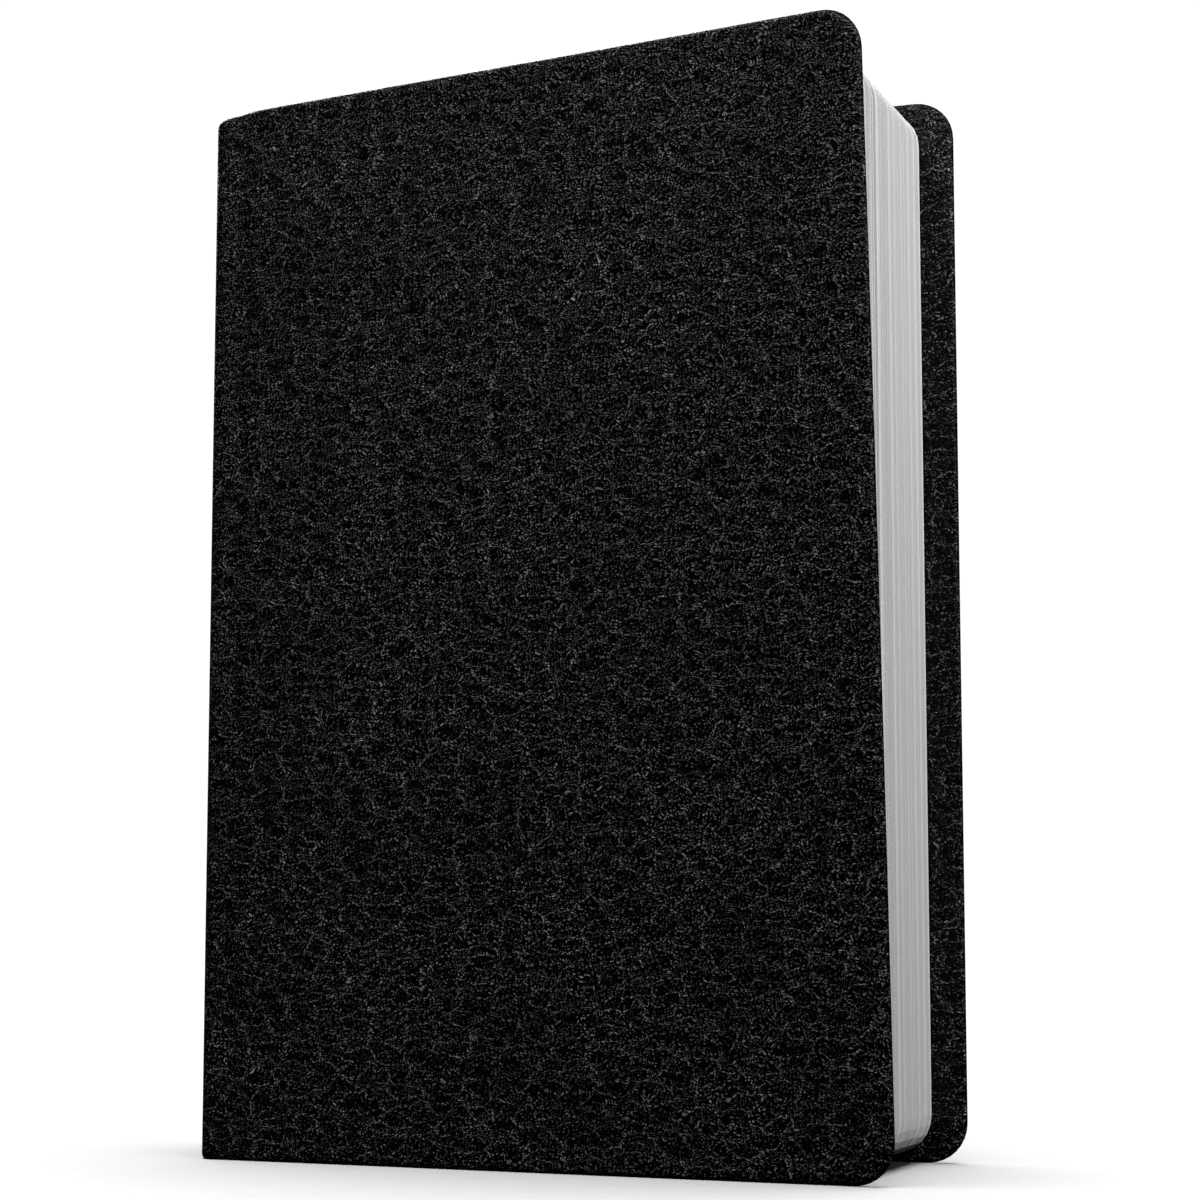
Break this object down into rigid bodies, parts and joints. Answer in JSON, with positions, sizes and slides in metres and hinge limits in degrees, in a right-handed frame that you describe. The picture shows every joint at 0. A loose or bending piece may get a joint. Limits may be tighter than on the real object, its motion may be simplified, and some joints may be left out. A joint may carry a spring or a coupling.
{
  "type": "prayer book",
  "caption": "Flexible-bound prayer book in grained black leather, standing on its tail, with covers, flyleaves and outer sections that turn at the spine.",
  "frame": {"origin": "on the standing surface, under the middle of the book's box as it stands, front cover slightly open", "axes": "+X from the spine to the fore-edge, +Y from the front cover to the back cover, +Z from tail to head"},
  "size_m": [0.16, 0.072, 0.229],
  "materials": {
    "black_leather": "satin",
    "cover_board": "matte",
    "leaf_paper": "matte",
    "endpaper": "matte",
    "kraft_paper": "matte",
    "mull_cloth": "matte",
    "tape_cloth": "matte",
    "band_cloth": "matte",
    "linen_thread": "matte"
  },
  "bodies": {
    "spine_and_block": {"spine_leather": "black_leather", "spine_stiffener": "cover_board", "spine_paper_lining": "kraft_paper", "spine_mull": "mull_cloth", "sewing_tape_1": "tape_cloth", "sewing_tape_2": "tape_cloth", "sewing_tape_3": "tape_cloth", "kettle_stitch_tail": "linen_thread", "kettle_stitch_head": "linen_thread", "tailband": "band_cloth", "headband": "band_cloth", "section_01_fold": "leaf_paper", "section_02_fold": "leaf_paper", "section_03_fold": "leaf_paper", "section_04_fold": "leaf_paper", "section_05_fold": "leaf_paper", "section_06": "leaf_paper", "section_07": "leaf_paper", "section_08": "leaf_paper", "section_09": "leaf_paper", "section_10": "leaf_paper", "section_11_fold": "leaf_paper", "section_12_fold": "leaf_paper", "section_13_fold": "leaf_paper", "section_14_fold": "leaf_paper", "section_15_fold": "leaf_paper"},
    "front_cover": {"front_cover_leather": "black_leather", "front_cover_stiffener": "cover_board", "front_pastedown": "endpaper"},
    "back_cover": {"back_cover_leather": "black_leather", "back_cover_stiffener": "cover_board", "back_pastedown": "endpaper"},
    "front_flyleaf": {"front_flyleaf": "endpaper"},
    "back_flyleaf": {"back_flyleaf": "endpaper"},
    "section_01": {"section_01_leaves": "leaf_paper"},
    "section_02": {"section_02_leaves": "leaf_paper"},
    "section_03": {"section_03_leaves": "leaf_paper"},
    "section_04": {"section_04_leaves": "leaf_paper"},
    "section_05": {"section_05_leaves": "leaf_paper"},
    "section_11": {"section_11_leaves": "leaf_paper"},
    "section_12": {"section_12_leaves": "leaf_paper"},
    "section_13": {"section_13_leaves": "leaf_paper"},
    "section_14": {"section_14_leaves": "leaf_paper"},
    "section_15": {"section_15_leaves": "leaf_paper"}
  },
  "joints": [
    {"name": "front_cover_hinge", "type": "hinge", "parent": "spine_and_block", "child": "front_cover", "pos_m": [-0.074, -0.01013, 0], "axis": [0, 0, -1], "range_deg": [-5.5, 165]},
    {"name": "back_cover_hinge", "type": "hinge", "parent": "spine_and_block", "child": "back_cover", "pos_m": [-0.074, 0.03598, 0], "axis": [0, 0, 1], "range_deg": [0, 170]},
    {"name": "front_flyleaf_turn", "type": "hinge", "parent": "spine_and_block", "child": "front_flyleaf", "pos_m": [-0.074, -0.01013, 0], "axis": [0, 0, -1], "range_deg": [-4.7, 140.3]},
    {"name": "back_flyleaf_turn", "type": "hinge", "parent": "spine_and_block", "child": "back_flyleaf", "pos_m": [-0.074, 0.03598, 0], "axis": [0, 0, 1], "range_deg": [0, 144.5]},
    {"name": "section_01_turn", "type": "hinge", "parent": "spine_and_block", "child": "section_01", "pos_m": [-0.074, -0.00598, 0], "axis": [0, 0, -1], "range_deg": [-2.8, 82.6]},
    {"name": "section_02_turn", "type": "hinge", "parent": "spine_and_block", "child": "section_02", "pos_m": [-0.074, -0.00328, 0], "axis": [0, 0, -1], "range_deg": [-2.3, 66.1]},
    {"name": "section_03_turn", "type": "hinge", "parent": "spine_and_block", "child": "section_03", "pos_m": [-0.074, -0.00057, 0], "axis": [0, 0, -1], "range_deg": [-1.7, 49.6]},
    {"name": "section_04_turn", "type": "hinge", "parent": "spine_and_block", "child": "section_04", "pos_m": [-0.074, 0.00213, 0], "axis": [0, 0, -1], "range_deg": [-1.2, 33.1]},
    {"name": "section_05_turn", "type": "hinge", "parent": "spine_and_block", "child": "section_05", "pos_m": [-0.074, 0.00483, 0], "axis": [0, 0, -1], "range_deg": [-0.6, 16.6]},
    {"name": "section_11_turn", "type": "hinge", "parent": "spine_and_block", "child": "section_11", "pos_m": [-0.074, 0.02102, 0], "axis": [0, 0, 1], "range_deg": [0, 17.1]},
    {"name": "section_12_turn", "type": "hinge", "parent": "spine_and_block", "child": "section_12", "pos_m": [-0.074, 0.02372, 0], "axis": [0, 0, 1], "range_deg": [0, 34.1]},
    {"name": "section_13_turn", "type": "hinge", "parent": "spine_and_block", "child": "section_13", "pos_m": [-0.074, 0.02643, 0], "axis": [0, 0, 1], "range_deg": [0, 51.1]},
    {"name": "section_14_turn", "type": "hinge", "parent": "spine_and_block", "child": "section_14", "pos_m": [-0.074, 0.02913, 0], "axis": [0, 0, 1], "range_deg": [0, 68.1]},
    {"name": "section_15_turn", "type": "hinge", "parent": "spine_and_block", "child": "section_15", "pos_m": [-0.074, 0.03182, 0], "axis": [0, 0, 1], "range_deg": [0, 85.1]}
  ],
  "couplings": [
    {"joint": "front_flyleaf_turn", "follows": "front_cover_hinge", "ratio": 0.85},
    {"joint": "back_flyleaf_turn", "follows": "back_cover_hinge", "ratio": 0.85},
    {"joint": "section_01_turn", "follows": "front_cover_hinge", "ratio": 0.5},
    {"joint": "section_02_turn", "follows": "front_cover_hinge", "ratio": 0.4},
    {"joint": "section_03_turn", "follows": "front_cover_hinge", "ratio": 0.3},
    {"joint": "section_04_turn", "follows": "front_cover_hinge", "ratio": 0.2},
    {"joint": "section_05_turn", "follows": "front_cover_hinge", "ratio": 0.1},
    {"joint": "section_11_turn", "follows": "back_cover_hinge", "ratio": 0.1},
    {"joint": "section_12_turn", "follows": "back_cover_hinge", "ratio": 0.2},
    {"joint": "section_13_turn", "follows": "back_cover_hinge", "ratio": 0.3},
    {"joint": "section_14_turn", "follows": "back_cover_hinge", "ratio": 0.4},
    {"joint": "section_15_turn", "follows": "back_cover_hinge", "ratio": 0.5}
  ]
}
